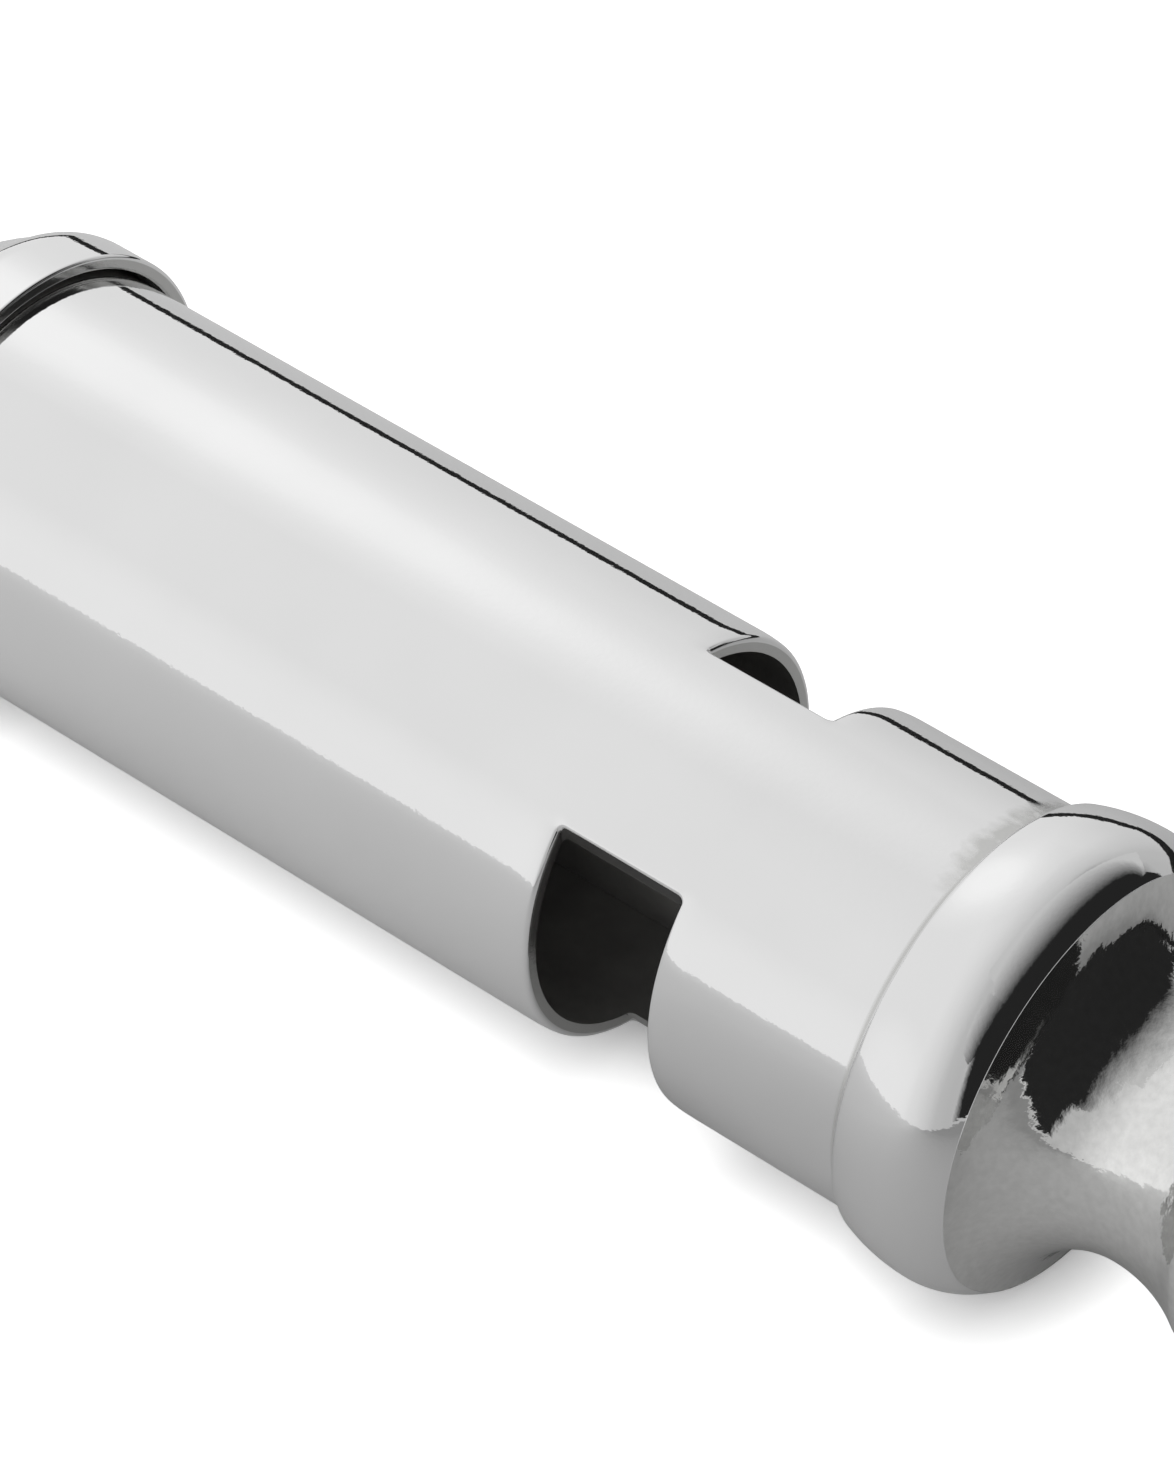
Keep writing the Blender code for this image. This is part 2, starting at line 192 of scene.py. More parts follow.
# Darkened brass, and the near-black painted shade of the windows' upper cut faces: dark and pale tones
BRASSES = {
    "inner_brass": ((0.225, 0.222, 0.217), (0.32, 0.314, 0.303)),
    "painted_shade_edge": ((0.02, 0.0195, 0.019), (0.045, 0.043, 0.04)),
}
BLOTCH_SCALE = 400.0
BLOTCH_LEVELS = (0.35, 0.75)
BRASS_ROUGHNESS = (0.45, 0.7)
GRAIN_STRENGTH = 0.5
GRAIN_HEIGHT = 0.01 * MM

# Solder bloom on the barrel beside the seam: how far it reaches along the barrel, which way it faces, and
# between which distances from the axis, that way, it sets in
BLOOM_WIDTH = 1.2 * MM
BLOOM_FACING = (0, math.sin(math.radians(18.0)), math.cos(math.radians(18.0)))
BLOOM_LOW = 4.7 * MM
BLOOM_HIGH = 6.1 * MM
BLOOM_STREAKS = (1800, 2600, 2600)
BLOOM_LEVELS = (0.10, 0.34)
BLOOM_TONE = (0.60, 0.60, 0.59, 1)
BLOOM_ROUGHNESS = 0.35
SEAM_GRIME = (0.26 * MM, 0.15 * MM)

# Studio: a small white tent over a pale table whose tone darkens along X as painted shade, with a dark gap
# along the table's far edge
TENT_RADIUS = 190 * MM
TENT_SEGMENTS = (64, 32)
TENT_CENTRE = 16 * MM
TENT_FOOT = -TENT_RADIUS / 4
TABLE_TONES = (0.85, 0.48)
TABLE_SHADE = (2 * MM, 75 * MM)
TABLE_HEIGHT = 0.05 * MM
GAP_DISTANCE = 65 * MM
GAP_BOTTOM = 1.6 * MM
GAP_TOP = 8.4 * MM
GAP_TONE = 0.03
FLOOR_REACH = 3.0
FLOOR_TONE = 0.9
FLOOR_LIFT = 0.9
SHADOW_REACH = 2.2 * MM
SHADOW_LIMIT = 100 * MM

# Dark hood that stands clear of the mouthpiece: level sheets with corners (x, y) in mm, and an upright end
# across X. Each fades from dark to pale between two distances from a point
HOOD_HEIGHTS = (9.5 * MM, 30 * MM)
HOOD_GLOW = (0.02, 0.65)
ROOF_CENTRE = (120 * MM, 16 * MM, 30 * MM)
ROOF_SHEETS = {
    "hood_roof": (
        (84.5 * MM, 95 * MM),
        ((25, -9), (30, -10.5), (33, -12), (50, -12), (50, 70), (25, 70)),
    ),
    "hood_front": (
        (85 * MM, 95.5 * MM),
        ((30, -12), (31, -17.5), (33.5, -24), (39.5, -31), (50, -37), (50, -12)),
    ),
}
END_PLACE = 50 * MM
END_REACH = (-38 * MM, 80 * MM)
END_CENTRE = (50 * MM, 30 * MM, 20 * MM)
END_FADE = (61 * MM, 69 * MM)

# Parts of the tent: azimuth and elevation in degrees, then the cloth's strength at angles away from there
TENT_PARTS = {
    "opening": (
        (99, 6),
        ((66, 0.55), (77, 0.59), (85, 0.70), (98, 0.83), (112, 0.915)),
    ),
    "far_corner": ((136, 35), ((22, 0.04), (36, 1.0))),
    "lamp": ((-119, 41), ((6, 1.21), (11, 1.17), (16, 1.09), (21, 1.04), (27, 1.0))),
    "front_foot": ((-35, 4), ((8, 1.07), (16, 1.05), (26, 1.0))),
    "back_foot": ((-160, 0), ((4, 0.86), (18, 0.95), (28, 1.0))),
}

# Camera: where the photograph was taken from, in degrees and metres, and where the windows' mouthpiece edge
# lies in its picture
CAMERA_AZIMUTH = 40.03
CAMERA_ELEVATION = 43.71
CAMERA_DEPTH = 195.48 * MM
PICTURE_RIGHT = 5.636 * MM
PICTURE_DOWN = 4.867 * MM
CAMERA_LENS = 172.85
CAMERA_CLIP = 10 * MM


# Meshes


def add_piece(name, patches, materials, body):
    """One object from grids of points; each patch is (points[row, column], round, material index)."""
    bm = bmesh.new()
    for points, round_and_round, material in patches:
        rows = [[bm.verts.new(p) for p in row] for row in points]
        columns = len(rows[0])
        for upper, lower in zip(rows, rows[1:]):
            for j in range(columns if round_and_round else columns - 1):
                k = (j + 1) % columns
                bm.faces.new((upper[j], upper[k], lower[k], lower[j])).material_index = material
    bmesh.ops.remove_doubles(bm, verts=bm.verts, dist=WELD)
    bmesh.ops.dissolve_degenerate(bm, edges=bm.edges, dist=WELD)
    bmesh.ops.recalc_face_normals(bm, faces=bm.faces)
    mesh = bpy.data.meshes.new(name)
    bm.to_mesh(mesh)
    bm.free()
    mesh.shade_smooth()
    mesh.set_sharp_from_angle(angle=CREASE_ANGLE)
    for material in materials:
        mesh.materials.append(material)
    obj = bpy.data.objects.new(name, mesh)
    bpy.context.scene.collection.objects.link(obj)
    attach(obj, body)
    return obj


def about_axis(stations, radii, angles):
    """World points about the whistle's axis, from arrays that broadcast together."""
    stations, radii, angles = np.broadcast_arrays(stations, radii, angles)
    y = radii * np.cos(angles + LYING_ROLL)
    z = radii * np.sin(angles + LYING_ROLL)
    return np.stack([ORIGIN + stations, y, AXIS_HEIGHT + z], axis=-1)


def arc(centre, radius, start, end, step=ARC_STEP):
    """Points on an arc of a profile; angle 0 is its outermost point, a quarter turn its +X point."""
    pieces = max(2, math.ceil(abs(end - start) / step))
    angles = np.linspace(start, end, pieces + 1)
    return [(centre[0] + radius * math.sin(a), centre[1] + radius * math.cos(a)) for a in angles]


def turned(profile, material=0):
    """The patch that a profile makes when it is turned about the axis."""
    points = np.array(profile)
    angles = np.arange(SIDES) * 2 * math.pi / SIDES
    return about_axis(points[:, :1], points[:, 1:], angles[None, :]), True, material


# Barrel: a tube as a grid of rings, open at the windows


def graded(length, coarse):
    """Distances from an edge, from 0 to length: fine over the edge's round, then growing to a coarse step."""
    round_angles = np.linspace(0, math.pi / 2, EDGE_POINTS)
    distances = list(WINDOW_EDGE * (1 - np.cos(round_angles)))
    step = FIRST_STEP
    while distances[-1] + 2 * step < length:
        distances.append(distances[-1] + step)
        step = min(step * STEP_GROWTH, coarse)
    return np.array([*distances, length])


def both_ends(length, coarse):
    """Distances along a stretch that has an edge at each end."""
    half = graded(length / 2, coarse)
    return np.concatenate([half, length - half[-2::-1]])


def wrap(angle):
    """The angle to the nearer window's middle."""
    return np.abs((angle + math.pi / 2) % math.pi - math.pi / 2)


def outer_radius(station, angle):
    """The barrel's outer radius: rounded over at the windows' edges, and buffed down towards their ends."""
    cut_angle = math.acos(WINDOW_FLOOR / BARREL_RADIUS)
    along = np.abs(station - WINDOW_MIDDLE) - (WINDOW_WIDTH / 2 - WINDOW_CORNER)
    across = BARREL_RADIUS * (wrap(angle) - cut_angle) + WINDOW_CORNER
    along, across = np.maximum(along, 0), np.maximum(across, 0)
    reach = np.hypot(along, across)
    distance = np.maximum(reach - WINDOW_CORNER, 0)
    end_share = (along / np.maximum(reach, WELD)) ** 2
    sweep = cut_angle + (math.pi / 2 - cut_angle) * end_share
    lean = np.clip(np.sin(sweep) - distance / WINDOW_EDGE, 0, 1)
    rounded = WINDOW_EDGE * (1 - np.sqrt(1 - lean**2))
    buffed = BUFFED_DROP * end_share * np.clip(1 - distance / BUFFED_REACH, 0, 1) ** 3
    return BARREL_RADIUS - rounded - buffed


def half_window(stations, radius):
    """Half the angle that a window spans at stations within it; its corners are rounded."""
    past = np.abs(stations - WINDOW_MIDDLE) - (WINDOW_WIDTH / 2 - WINDOW_CORNER)
    past = np.clip(past, 0, WINDOW_CORNER)
    inset = WINDOW_CORNER - np.sqrt(WINDOW_CORNER**2 - past**2)
    return math.acos(WINDOW_FLOOR / radius) - inset / BARREL_RADIUS


def barrel_skin(stations, radius, angles):
    """Points of the outer skin or, at the bore's radius, of the bore."""
    radii = outer_radius(stations, angles) if radius == BARREL_RADIUS else radius
    return about_axis(stations, radii, angles)


def add_barrel(plate, inside, milled, painted_shade):
    """Skin and bore, each as tubes beside the windows and strips between them, joined by the cut faces."""
    near_edge = -WINDOW_SETBACK
    far_edge = near_edge - WINDOW_WIDTH
    cut = BARREL_RADIUS * half_window(near_edge, BARREL_RADIUS)
    window_shares = both_ends(2 * cut, WINDOW_STEP) / (2 * cut)
    strip = math.pi * BARREL_RADIUS - 2 * cut
    strip_shares = both_ends(strip, STRIP_STEP) / strip
    tubes = [
        near_edge + graded(-near_edge, TUBE_STEP),
        far_edge - graded(BARREL_LENGTH + far_edge, TUBE_STEP),
    ]
    within = near_edge - both_ends(WINDOW_WIDTH, CUT_STEP)

    patches = []
    edges = {}
    for radius, material in ((BARREL_RADIUS, 0), (BORE_RADIUS, 1)):
        half = half_window(near_edge, radius)
        window = -half + 2 * half * window_shares[:-1]
        strip = half + (math.pi - 2 * half) * strip_shares[:-1]
        ring = np.concatenate([window, strip, window + math.pi, strip + math.pi])
        for stations in tubes:
            patches.append((barrel_skin(stations[:, None], radius, ring[None, :]), True, material))
        half = half_window(within, radius)[:, None]
        for side, upwards in WINDOWS:
            angles = side + half + (math.pi - 2 * half) * strip_shares
            patches.append((barrel_skin(within[:, None], radius, angles), False, material))
            sides = [barrel_skin(within, radius, (side + s * half)[:, 0]) for s in (upwards, -upwards)]
            arcs = side - half[0] + 2 * half[0] * window_shares
            ends = [barrel_skin(np.full_like(arcs, x), radius, arcs) for x in (near_edge, far_edge)]
            edges[radius, side] = sides + ends
        edges[radius] = [barrel_skin(np.full_like(ring, x[-1]), radius, ring) for x in tubes]
    for side, _ in WINDOWS:
        # The upper side's cut face takes near-black painted shade, and the lower side's and both ends' are
        # milled
        cuts = zip(edges[BARREL_RADIUS, side], edges[BORE_RADIUS, side], (3, 2, 2, 2))
        for outer, inner, material in cuts:
            patches.append((np.stack([outer, inner]), False, material))
    for outer, inner in zip(edges[BARREL_RADIUS], edges[BORE_RADIUS]):
        patches.append((np.stack([outer, inner]), True, 0))

    barrel = add_piece("polished_barrel", patches, [plate, inside, milled, painted_shade], "whistle")
    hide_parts("barrel")


# Turned pieces


def cove():
    """Radius and sweep of the hollow between the bead's crease and the waist, level at the waist."""
    across = WAIST - BEAD - BEAD_FRONT_RADIUS * math.sin(BEAD_FRONT_SWEEP)
    down = BEAD_RADIUS - BEAD_FRONT_RADIUS * (1 - math.cos(BEAD_FRONT_SWEEP)) - WAIST_RADIUS
    radius = (across**2 + down**2) / (2 * down)
    return radius, math.atan2(across, radius - down)


def mouthpiece_neck():
    """From the tip to the crease: lip, flare and cove."""
    flare_end = WAIST + FLARE_RADIUS * math.sin(FLARE_SWEEP)
    flare_top = WAIST_RADIUS + FLARE_RADIUS * (1 - math.cos(FLARE_SWEEP))
    lip = (flare_end + LIP_RADIUS * math.sin(FLARE_SWEEP), flare_top - LIP_RADIUS * math.cos(FLARE_SWEEP))
    points = arc(lip, LIP_RADIUS, math.pi / 2, -FLARE_SWEEP)
    points += arc((WAIST, WAIST_RADIUS + FLARE_RADIUS), FLARE_RADIUS, math.pi - FLARE_SWEEP, math.pi)
    radius, sweep = cove()
    end = math.pi + sweep - CREASE_RIDGE / radius
    return points + arc((WAIST, WAIST_RADIUS + radius), radius, math.pi, end)


def mouthpiece_bead(neck):
    """From the neck's end to the seam: a fine ridge in the crease, the bead and the seam edge."""
    crease = BEAD + BEAD_FRONT_RADIUS * math.sin(BEAD_FRONT_SWEEP)
    crease_radius = BEAD_RADIUS - BEAD_FRONT_RADIUS * (1 - math.cos(BEAD_FRONT_SWEEP))
    start = BEAD_FRONT_SWEEP - CREASE_RIDGE / BEAD_FRONT_RADIUS
    front = arc((BEAD, BEAD_RADIUS - BEAD_FRONT_RADIUS), BEAD_FRONT_RADIUS, start, 0)
    ends = [math.atan2(x - crease, r - crease_radius) for x, r in (neck[-1], front[0])]
    ridge = arc((crease, crease_radius), CREASE_RIDGE, *ends, RIDGE_STEP)
    points = [neck[-1], *ridge[1:-1], *front]

    rise = BEAD_RADIUS - SEAM_EDGE - (BARREL_RADIUS + SLIP + SEAM_FACE)
    run = BEAD_SETBACK - SEAM_EDGE
    back_sweep = 2 * math.atan2(rise, run)
    back_radius = SEAM_EDGE + run / math.sin(back_sweep)
    points += arc((BEAD, BEAD_RADIUS - back_radius), back_radius, 0, -back_sweep)
    edge = (SEAM + SEAM_EDGE, BARREL_RADIUS + SLIP + SEAM_FACE)
    points += arc(edge, SEAM_EDGE, -back_sweep, -math.pi / 2)
    return points


def mouthpiece_inside():
    """From the seam to the tip: socket, ledge for the barrel, throat and bore."""
    socket = BARREL_RADIUS + SLIP
    plenum = BORE_RADIUS - LEDGE
    radius, _ = cove()
    throat = radius + NECK_WALL
    throat_sweep = math.acos((WAIST_RADIUS + radius - plenum) / throat)
    bore = WAIST_RADIUS - NECK_WALL
    points = [(SEAM, socket), (SLIP, socket), (SLIP, plenum)]
    points += arc((WAIST, WAIST_RADIUS + radius), throat, math.pi + throat_sweep, math.pi)
    points += arc((TIP - BORE_EDGE, bore + BORE_EDGE), BORE_EDGE, math.pi, math.pi / 2)
    return points


def add_mouthpiece(plate, inside, hand_buffed):
    neck = mouthpiece_neck()
    bead = mouthpiece_bead(neck)
    within = mouthpiece_inside()
    face = [within[-1], neck[0]]
    seam = [bead[-1], within[0]]
    patches = [turned(neck, 2), turned(bead), turned(seam), turned(within, 1), turned(face)]
    mouthpiece = add_piece("polished_mouthpiece", patches, [plate, inside, hand_buffed], "whistle")
    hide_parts("mouthpiece")


def dome(radius, edge, hole):
    """Points over the crown, from a polar angle at its edge to a hole at its apex."""
    end = math.asin(hole / radius)
    angles = np.linspace(edge, end, math.ceil((edge - end) / ARC_STEP) + 1)
    return [(DOME_CENTRE - radius * math.cos(a), radius * math.sin(a)) for a in angles]


def add_end_cap(plate, inside, milled):
    hole = TENON_RADIUS + SLIP
    shoulder = (SHOULDER, CAP_RADIUS - SHOULDER_RADIUS)
    edge = math.atan2(CROWN_RADIUS, DOME_CENTRE - CROWN)
    outside = arc((RIM - RIM_EDGE, CAP_RADIUS - RIM_EDGE), RIM_EDGE, math.pi / 2, 0)
    outside += arc(shoulder, SHOULDER_RADIUS, 0, -SHOULDER_SWEEP)
    outside += dome(DOME_RADIUS, edge, hole)
    within = dome(DOME_RADIUS - CAP_WALL, edge, hole)[::-1]
    within += arc(shoulder, SHOULDER_RADIUS - CAP_WALL, -SHOULDER_SWEEP, 0)
    rim = arc((RIM - RIM_EDGE, CAP_RADIUS - CAP_WALL + RIM_EDGE), RIM_EDGE, math.pi, math.pi / 2)
    within += [rim[0]]
    patches = [turned(outside), turned([outside[-1], within[0]]), turned(within, 1), turned(rim, 2)]
    patches += [turned([rim[-1], outside[0]], 2)]
    cap = add_piece("polished_end_cap", patches, [plate, inside, milled], "whistle")
    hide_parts("end_cap")


def tube(centres, normals, axis, radii):
    """Rings round points of a wire that lies in the plane across an axis."""
    angles = np.arange(WIRE_SIDES) * 2 * math.pi / WIRE_SIDES
    out = np.cos(angles)[None, :, None] * normals[:, None, :] + np.sin(angles)[None, :, None] * axis
    return centres[:, None, :] + radii[:, None, None] * out


def add_suspension_loop(plate):
    """Riveted stem with its collar, and the wire eye that it carries, as one piece."""
    top = APEX - COLLAR_HEIGHT
    seat_in = DOME_RADIUS - CAP_WALL - SLIP
    seat_out = DOME_RADIUS + SLIP
    under_head = dome(seat_in, math.asin(TENON_HEAD_RADIUS / seat_in), TENON_RADIUS)
    under_collar = dome(seat_out, math.asin(COLLAR_RADIUS / seat_out), TENON_RADIUS)[::-1]
    head_edge = under_head[0][0]
    profile = [(head_edge + TENON_HEAD, POLE_RADIUS), (head_edge + TENON_HEAD, TENON_RADIUS)]
    profile += [(head_edge + TENON_HEAD / 2, TENON_HEAD_RADIUS), *under_head, *under_collar]
    profile += arc((top + COLLAR_EDGE, COLLAR_RADIUS - COLLAR_EDGE), COLLAR_EDGE, 0, -math.pi / 2)
    profile += arc((top - STEM_FILLET, STEM_RADIUS + STEM_FILLET), STEM_FILLET, math.pi / 2, math.pi)
    profile += [(EYE + EYE_RADIUS, STEM_RADIUS), (EYE + EYE_RADIUS, POLE_RADIUS)]
    loop = add_piece("polished_suspension_loop", [turned(profile)], [plate], "whistle")

    angles = np.linspace(0, 2 * math.pi, SIDES // 2 + 1)
    out = np.stack([np.cos(angles), 0 * angles, np.sin(angles)], axis=-1)
    centre = np.array((HINGE.x, HINGE.y, AXIS_HEIGHT))
    rings = tube(centre + EYE_RADIUS * out, out, np.array((0, 1, 0)), np.full(len(angles), EYE_WIRE_RADIUS))
    eye = add_piece("eye", [(rings, True, 0)], [plate], "whistle")
    join(loop, eye)
    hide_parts("suspension_loop")


def join(obj, other):
    """Unites another object's solid with this one's, and removes the other."""
    union = obj.modifiers.new("Union", "BOOLEAN")
    union.operation = "UNION"
    union.solver = "EXACT"
    union.object = other
    bpy.context.view_layer.update()
    evaluated = obj.evaluated_get(bpy.context.evaluated_depsgraph_get())
    united = bpy.data.meshes.new_from_object(evaluated)
    obj.modifiers.remove(union)
    obj.data = united
    united.set_sharp_from_angle(angle=CREASE_ANGLE)
    bpy.data.objects.remove(other)


def add_suspension_ring(plate):
    """Wire ring through the eye, its cut ends butted with a fine gap."""
    gap = RING_BUTT_GAP / RING_RADIUS
    edge = RING_END_EDGE / RING_RADIUS
    quarter = np.linspace(0, math.pi / 2, RING_END_POINTS)
    start = RING_BUTT_ANGLE + gap / 2
    end = start + 2 * math.pi - gap
    lead = edge * (1 - np.cos(quarter))
    middle = np.linspace(start + edge, end - edge, SIDES)
    angles = np.concatenate([start + lead[:-1], middle, (end - lead[:-1])[::-1]])
    shrink = RING_END_EDGE * (1 - np.sin(quarter[:-1]))
    radii = RING_WIRE_RADIUS - np.concatenate([shrink, np.zeros(SIDES), shrink[::-1]])
    angles = np.concatenate([angles[:1], angles, angles[-1:]])
    radii = np.concatenate([[POLE_RADIUS], radii, [POLE_RADIUS]])
    out = np.stack([np.cos(angles), np.sin(angles), 0 * angles], axis=-1)
    rings = tube(RING_RADIUS * (out - (1, 0, 0)), out, np.array((0, 0, 1)), radii)
    droop = np.array(Matrix.Rotation(-RING_DROOP, 3, "Y"))
    ring = add_piece("wire_suspension_ring", [(rings @ droop.T + np.array(HINGE), True, 0)], [plate], "ring")
    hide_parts("suspension_ring")


# Materials


def new_material(name):
    material = bpy.data.materials.new(name)
    material.use_nodes = True
    tree = material.node_tree
    return material, tree, tree.nodes["Principled BSDF"]


def add_node(tree, kind, inputs=None, **settings):
    """A node with its settings and inputs; an input that is a socket is linked."""
    node = tree.nodes.new(f"ShaderNode{kind}")
    for key, value in settings.items():
        setattr(node, key, value)
    for key, value in (inputs or {}).items():
        if isinstance(value, bpy.types.NodeSocket):
            tree.links.new(value, node.inputs[key])
        else:
            node.inputs[key].default_value = value
    return node


def maths(tree, operation, *values):
    """Result of a Math node on sockets or numbers."""
    return add_node(tree, "Math", dict(enumerate(values)), operation=operation).outputs[0]


def map_range(tree, value, source, target=(0.0, 1.0)):
    """A value taken from one range to another and held at its ends."""
    return add_node(tree, "MapRange", dict(enumerate((value, *source, *target)))).outputs[0]


def mix_colours(tree, factor, first, second):
    mix = add_node(tree, "Mix", {"Factor": factor, 6: first, 7: second}, data_type="RGBA")
    return mix.outputs[2]


def tone_ramp(tree, factor, levels, tones):
    """Colour that goes from one tone to another between two levels of a factor."""
    ramp = add_node(tree, "ValToRGB", {"Fac": factor})
    for element, level, tone in zip(ramp.color_ramp.elements, levels, tones):
        element.position = level
        element.color = (*tone, 1)
    return ramp.outputs["Color"]


def scaled(tone, share):
    return [channel * share for channel in tone]


def nickel(name, tone, roughness, ripple, wave, mottle):
    """Buffed nickel plate: tone drift of a depth and scale, fine pits, a fine ripple and a broad wave."""
    material, tree, shader = new_material(name)
    place = add_node(tree, "TexCoord").outputs["Object"]
    depth, scale = mottle
    drift = add_node(tree, "TexNoise", {"Vector": place, "Scale": scale, "Detail": 3.0}).outputs["Fac"]
    fine = add_node(tree, "TexNoise", {"Vector": place, "Scale": RIPPLE_SCALE, "Detail": 2.0}).outputs["Fac"]
    broad = add_node(tree, "TexNoise", {"Vector": place, "Scale": WAVE_SCALE, "Detail": 2.0}).outputs["Fac"]
    cells = add_node(tree, "TexVoronoi", {"Vector": place, "Scale": PIT_SCALE}).outputs
    rare = maths(tree, "GREATER_THAN", cells["Color"], PIT_RARITY)
    small = maths(tree, "LESS_THAN", cells["Distance"], PIT_SIZE)
    pit = maths(tree, "MULTIPLY", rare, small)

    tones = tone_ramp(tree, drift, MOTTLE_LEVELS, (scaled(tone, 1 - depth), tone))
    pitted = mix_colours(tree, pit, tones, (*scaled(tone, PIT_TONE), 1))
    tree.links.new(pitted, shader.inputs["Base Color"])
    haze = map_range(tree, drift, (0.0, 1.0), scaled(ROUGHNESS_SPREAD, roughness))
    tree.links.new(haze, shader.inputs["Roughness"])
    waves = add_node(tree, "Bump", {"Distance": wave, "Height": broad}).outputs["Normal"]
    ripples = add_node(tree, "Bump", {"Distance": ripple, "Height": fine, "Normal": waves}).outputs["Normal"]
    tree.links.new(ripples, shader.inputs["Normal"])
    shader.inputs["Metallic"].default_value = 1.0
    return material


def dark_brass_and_painted_shade(name, dark, pale):
    """Unpolished brass inside the tube, darkened by solder heat and tarnish; with near-black tones it is
    painted shade on the windows' upper cut faces.
    """
    material, tree, shader = new_material(name)
    place = add_node(tree, "TexCoord").outputs["Object"]
    blotch = add_node(tree, "TexNoise", {"Vector": place, "Scale": BLOTCH_SCALE, "Detail": 5.0})
    blotch = blotch.outputs["Fac"]
    tree.links.new(tone_ramp(tree, blotch, BLOTCH_LEVELS, (dark, pale)), shader.inputs["Base Color"])
    haze = map_range(tree, blotch, (0.0, 1.0), BRASS_ROUGHNESS)
    tree.links.new(haze, shader.inputs["Roughness"])
    grain = add_node(tree, "Bump", {"Strength": GRAIN_STRENGTH, "Distance": GRAIN_HEIGHT, "Height": blotch})
    tree.links.new(grain.outputs["Normal"], shader.inputs["Normal"])
    return material


def solder_bloom(material):
    """Dulls the plate where the barrel meets the mouthpiece: a fine line, and patches on the upper side."""
    tree = material.node_tree
    shader = tree.nodes["Principled BSDF"]
    place = add_node(tree, "TexCoord").outputs["Object"]
    along = add_node(tree, "SeparateXYZ", {0: place}).outputs["X"]
    out = add_node(tree, "VectorMath", {0: place, 1: BLOOM_FACING}, operation="DOT_PRODUCT").outputs["Value"]
    streaks = add_node(tree, "VectorMath", {0: place, 1: BLOOM_STREAKS}, operation="MULTIPLY")
    patchy = add_node(tree, "TexNoise", {"Vector": streaks.outputs["Vector"], "Scale": 1.0, "Detail": 4.0})
    seam = ORIGIN + SEAM
    axis = AXIS_HEIGHT * BLOOM_FACING[2]
    near = map_range(tree, along, (seam - BLOOM_WIDTH, seam))
    high = map_range(tree, out, (axis + BLOOM_LOW, axis + BLOOM_HIGH))
    amount = maths(tree, "MULTIPLY", maths(tree, "MULTIPLY", near, high), patchy.outputs["Fac"])
    bloom = map_range(tree, amount, BLOOM_LEVELS)
    start, end = SEAM_GRIME
    grime = map_range(tree, along, (seam - start, seam - end))
    dull = maths(tree, "MAXIMUM", bloom, grime)
    haze = shader.inputs["Roughness"].links[0].from_socket
    tone = shader.inputs["Base Color"].links[0].from_socket
    rough = map_range(tree, dull, (0.0, 1.0), (haze, BLOOM_ROUGHNESS))
    tree.links.new(rough, shader.inputs["Roughness"])
    tree.links.new(mix_colours(tree, dull, tone, BLOOM_TONE), shader.inputs["Base Color"])


def dress_inner_nodes(material):
    """The blocks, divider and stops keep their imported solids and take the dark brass."""
    for name in INNER_NODES:
        node = frame["nodes"][name]
        node.data.materials.clear()
        node.data.materials.append(material)


# Stage


def add_sheet(name, corners, material):
    mesh = bpy.data.meshes.new(name)
    mesh.from_pydata(corners, [], [tuple(range(len(corners)))])
    mesh.materials.append(material)
    obj = bpy.data.objects.new(name, mesh)
    bpy.context.scene.collection.objects.link(obj)
    return obj


def new_stage_material(name):
    material = bpy.data.materials.new(name)
    material.use_nodes = True
    tree = material.node_tree
    tree.nodes.remove(tree.nodes["Principled BSDF"])
    return material, tree, tree.nodes["Material Output"].inputs["Surface"]


def white_floor():
    """White paper that shows white to the camera, in mirrors and through glass, and keeps its shadow."""
    material, tree, surface = new_stage_material("white_floor")
    path = add_node(tree, "LightPath").outputs
    seen = maths(tree, "MAXIMUM", path["Is Camera Ray"], path["Is Glossy Ray"])
    seen = maths(tree, "MAXIMUM", seen, path["Is Transmission Ray"])
    place = add_node(tree, "TexCoord").outputs["Object"]
    away = add_node(tree, "VectorMath", {0: place}, operation="LENGTH").outputs["Value"]
    clear = maths(tree, "GREATER_THAN", away, SHADOW_LIMIT)
    open_sky = add_node(tree, "AmbientOcclusion", {"Distance": SHADOW_REACH}).outputs["AO"]
    bare = maths(tree, "MAXIMUM", open_sky, clear)
    lift = maths(tree, "MULTIPLY", maths(tree, "MULTIPLY", seen, bare), FLOOR_LIFT)
    paper = add_node(tree, "BsdfDiffuse", {"Color": (FLOOR_TONE, FLOOR_TONE, FLOOR_TONE, 1)})
    glow = add_node(tree, "Emission", {"Strength": lift})
    both = add_node(tree, "AddShader", {0: paper.outputs[0], 1: glow.outputs[0]})
    tree.links.new(both.outputs[0], surface)
    return material


def shaded_paper(name, tones, stretch):
    """Paper whose tone changes along a stretch of X; on the table it darkens as painted shade."""
    material, tree, surface = new_stage_material(name)
    place = add_node(tree, "TexCoord").outputs["Object"]
    along = add_node(tree, "SeparateXYZ", {0: place}).outputs["X"]
    tone = map_range(tree, along, stretch, tones)
    tree.links.new(add_node(tree, "BsdfDiffuse", {"Color": tone}).outputs[0], surface)
    return material


def plain_paper(name, tone):
    material, tree, surface = new_stage_material(name)
    paper = add_node(tree, "BsdfDiffuse", {"Color": (tone, tone, tone, 1)})
    tree.links.new(paper.outputs[0], surface)
    return material


def fading_cloth(name, centre, stretch):
    """Cloth of the hood, which goes from dark to pale between two distances from a point."""
    material, tree, surface = new_stage_material(name)
    place = add_node(tree, "TexCoord").outputs["Object"]
    away = add_node(tree, "VectorMath", {0: place, 1: centre}, operation="DISTANCE").outputs["Value"]
    glow = map_range(tree, away, stretch, HOOD_GLOW)
    tree.links.new(add_node(tree, "Emission", {"Strength": glow}).outputs[0], surface)
    return material


